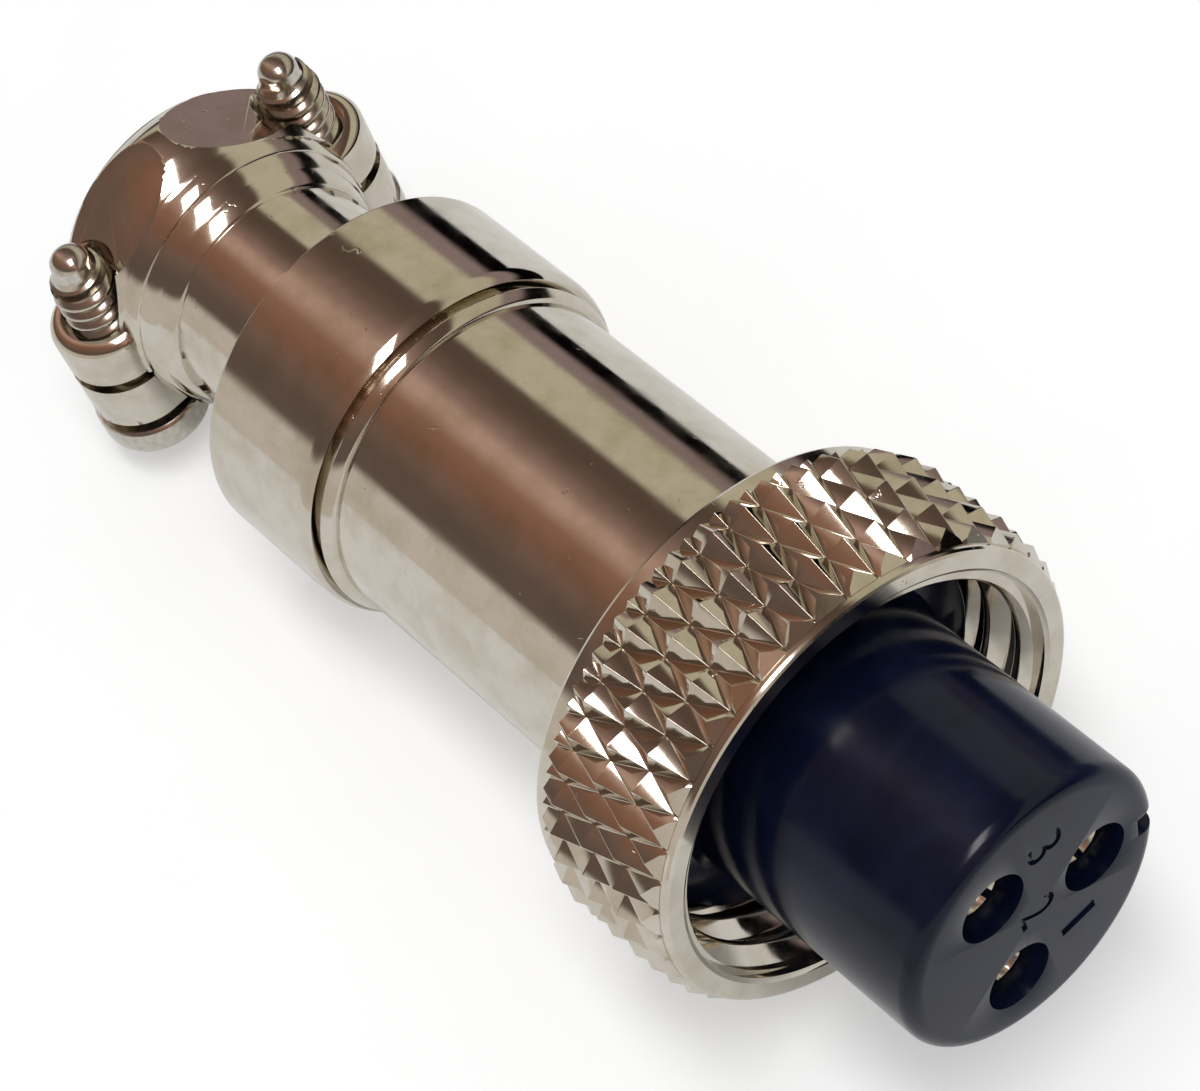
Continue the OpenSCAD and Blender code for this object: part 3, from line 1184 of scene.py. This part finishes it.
        # X becomes Z
        screw.data.transform(Matrix.Rotation(-math.pi / 2, 4, "Y"))
        return smooth(screw, 30)

    def build(self) -> list[bpy.types.Object]:
        """Models the clamp.

        Returns:
            The saddle and both screws.
        """
        made = [self.saddle()]
        model = dress(self.screw(), self.screw_finish)
        for side, hand in ((-1, "left"), (1, "right")):
            name = f"clamp_screw_{hand}"
            out = in_mm(name)[0].z - self.screw_low
            place = Matrix.Translation((self.screw_x * MM, side * self.screw_y * MM, out * MM))
            twin = copy_of(model, f"{name}_threaded", place)
            made.append(place_for(twin, f"{hand}_screw", "plated_screw", name))
        bpy.data.objects.remove(model, do_unlink=True)
        return made


# ---------------------------------------------------------------- room, lamp and camera


@dataclass(frozen=True)
class Studio:
    """Pale table under one long overhead lamp, in a warm wooden room."""

    floor_r: float = 72.0
    tilt: float = 6.27
    lamp_at: tuple[float, float, float] = (0.21, -0.04, 0.98)
    lamp_far: float = 300.0
    lamp_size: tuple[float, float] = (74.0, 218.0)
    lamp_power: float = 0.4
    eye: tuple[float, float, float] = (56.38, -29.021, 112.672)
    aim: tuple[float, float, float] = (-22.024, 0.349, 0.0)
    roll: float = -25.81
    lens: float = 120.32
    room_light: float = 0.45
    table_glow: float = 0.36
    table_sheen: float = 0.14

    def room(self) -> None:
        """Makes the world: even light, white for the camera, and the room for glossy surfaces.

        Seen round the plug's axis, the room is dark at one side, then a khaki wall, a brown
        ceiling with a copper strip in its middle, and pale paper at the other side.
        """
        world = bpy.data.worlds.new("room")
        bpy.context.scene.world = world
        world.use_nodes = True
        tree = world.node_tree
        tree.nodes.clear()
        direction = add_node(tree, "ShaderNodeTexCoord").outputs["Generated"]
        parts = add_node(tree, "ShaderNodeSeparateXYZ", {0: direction})
        angle = add_node(tree, "ShaderNodeMath", {0: parts.outputs["Z"], 1: parts.outputs["Y"]},
                         operation="ARCTAN2")
        place = add_node(tree, "ShaderNodeMapRange", {"Value": angle.outputs[0]},
                         {"From Min": -math.pi, "From Max": math.pi})
        paper, dark, mauve, khaki = "#D5CEC6", "#030201", "#958383", "#CBC4AE"
        brown, copper = "#614F46", "#C6A596"
        bands = [(-180, paper), (-22, paper), (-12, dark), (4, dark), (9, mauve), (18, mauve),
                 (22, khaki), (50, khaki), (54, brown), (63, brown), (73, "#755F57"), (84, "#9F8278"),
                 (91, copper), (97, copper), (107, "#9C7561"), (120, "#8B6654"), (132, "#7E665B"),
                 (145, "#6B5B54"), (158, "#6B5B54"), (164, paper), (180, paper)]
        seen = ramp(tree, place.outputs[0], [((a + 180) / 360, linear(c)) for a, c in bands])
        path = add_node(tree, "ShaderNodeLightPath")
        glossy = add_node(tree, "ShaderNodeMix", {0: path.outputs["Is Glossy Ray"], 7: seen},
                          {6: grey(self.room_light)}, data_type="RGBA").outputs[2]
        white = add_node(tree, "ShaderNodeMix", {0: path.outputs["Is Camera Ray"], 6: glossy},
                         {7: grey(1.0)}, data_type="RGBA").outputs[2]
        light = add_node(tree, "ShaderNodeBackground", {"Color": white})
        add_node(tree, "ShaderNodeOutputWorld", {"Surface": light.outputs[0]})

    def table(self) -> None:
        """Lays the round pale table under the nut and the rear edge of the barrel."""
        nut, shell = in_mm("coupling_nut"), in_mm("shell")
        edge = nut[0].x + 0.7
        slope = math.radians(self.tilt)
        deselect()
        bpy.ops.mesh.primitive_circle_add(vertices=192, radius=self.floor_r * MM, fill_type="NGON")
        table = start("table")
        middle = (shell[0].x + shell[1].x) / 2
        lowest = -nut[1].z - (middle - edge) * math.tan(slope)
        table.data.transform(Matrix.Translation((middle * MM, 0, lowest * MM))
                             @ Matrix.Rotation(slope, 4, "Y"))
        material, tree, shader, place = start_material("matt_white_table")
        weave = add_node(tree, "ShaderNodeTexNoise", {"Vector": place}, {"Scale": per_metre(9.0)})
        tint = ramp(tree, weave.outputs["Fac"], [(0.3, grey(0.79)), (0.7, grey(0.81))])
        tree.links.new(tint, shader.inputs["Base Color"])
        shader.inputs["Roughness"].default_value = 0.9
        shader.inputs["Specular IOR Level"].default_value = 0.0
        shader.inputs["Emission Color"].default_value = grey(1.0)
        path = add_node(tree, "ShaderNodeLightPath")
        bright = add_node(tree, "ShaderNodeMath", {0: path.outputs["Is Glossy Ray"]},
                          {1: self.table_sheen}, operation="MULTIPLY")
        glow = add_node(tree, "ShaderNodeMath",
                        {0: path.outputs["Is Camera Ray"], 2: bright.outputs[0]},
                        {1: self.table_glow}, operation="MULTIPLY_ADD")
        tree.links.new(glow.outputs[0], shader.inputs["Emission Strength"])
        dress(table, material)

    def lamp(self) -> None:
        """Hangs the long soft lamp over the plug."""
        aim = Vector(self.aim) * MM
        towards = Vector(self.lamp_at).normalized()
        deselect()
        bpy.ops.object.light_add(type="AREA", location=aim + towards * self.lamp_far * MM)
        lamp = bpy.context.active_object
        lamp.name = "overhead_lamp"
        lamp.rotation_euler = towards.to_track_quat("Z", "Y").to_euler()
        lamp.data.shape = "RECTANGLE"
        lamp.data.size, lamp.data.size_y = (side * MM for side in self.lamp_size)
        lamp.data.energy = self.lamp_power

    def camera(self) -> None:
        """Stands the camera in front of the nose, above the plug."""
        deselect()
        bpy.ops.object.camera_add()
        camera = bpy.context.active_object
        eye, aim = Vector(self.eye) * MM, Vector(self.aim) * MM
        look = (aim - eye).to_track_quat("-Z", "Y").to_matrix().to_4x4()
        camera.matrix_world = Matrix.Translation(eye) @ look @ Matrix.Rotation(
            math.radians(self.roll), 4, "Z")
        camera.data.lens = self.lens
        camera.data.sensor_width = 36.0
        camera.data.clip_start = 0.001
        bpy.context.scene.camera = camera

    def build(self) -> None:
        """Sets up the camera, the room, the table and the lamp."""
        self.camera()
        self.room()
        self.table()
        self.lamp()
        bpy.context.scene.view_settings.view_transform = "Standard"


@dataclass
class Sleeve:
    """Retaining sleeve behind the insert's flange, and the small lock screw under the barrel."""

    finish: bpy.types.Material
    steel: bpy.types.Material

    def build(self) -> None:
        """Gives both their finish; they are hidden but for an edge and a slot."""
        dress(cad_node("retaining_sleeve"), self.finish)
        dress(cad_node("lock_screw"), self.steel)


def main() -> None:
    """Builds the plug's pieces in order, then the room, table, lamp and camera."""
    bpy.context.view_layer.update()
    nickel = BrightNickel().make()
    plastic = MouldedBlack().make()
    inner = MouldedBlack("moulded_grey_nylon", "#5C6066", "#6C7077", 0.35, 0.5).make()
    contact = PlainMetal("silver_plated_brass", "#E2DED6", "#CFC9BC", 0.18, 0.3).make()
    screw = PlainMetal("bright_zinc_plated_steel", "#D3CFC6", "#BDB7AB", 0.12, 0.25).make()
    steel = PlainMetal("blackened_steel", "#4A4A4C", "#333335", 0.3, 0.45).make()
    Studio().build()
    Shell(nickel).build()
    Sleeve(nickel, steel).build()
    CouplingNut(nickel).build()
    Insert(plastic, inner, contact).build()
    Clamp(nickel, screw).build()


if __name__ == "__main__":
    logging.basicConfig(level=logging.INFO, format="%(message)s")
    main()
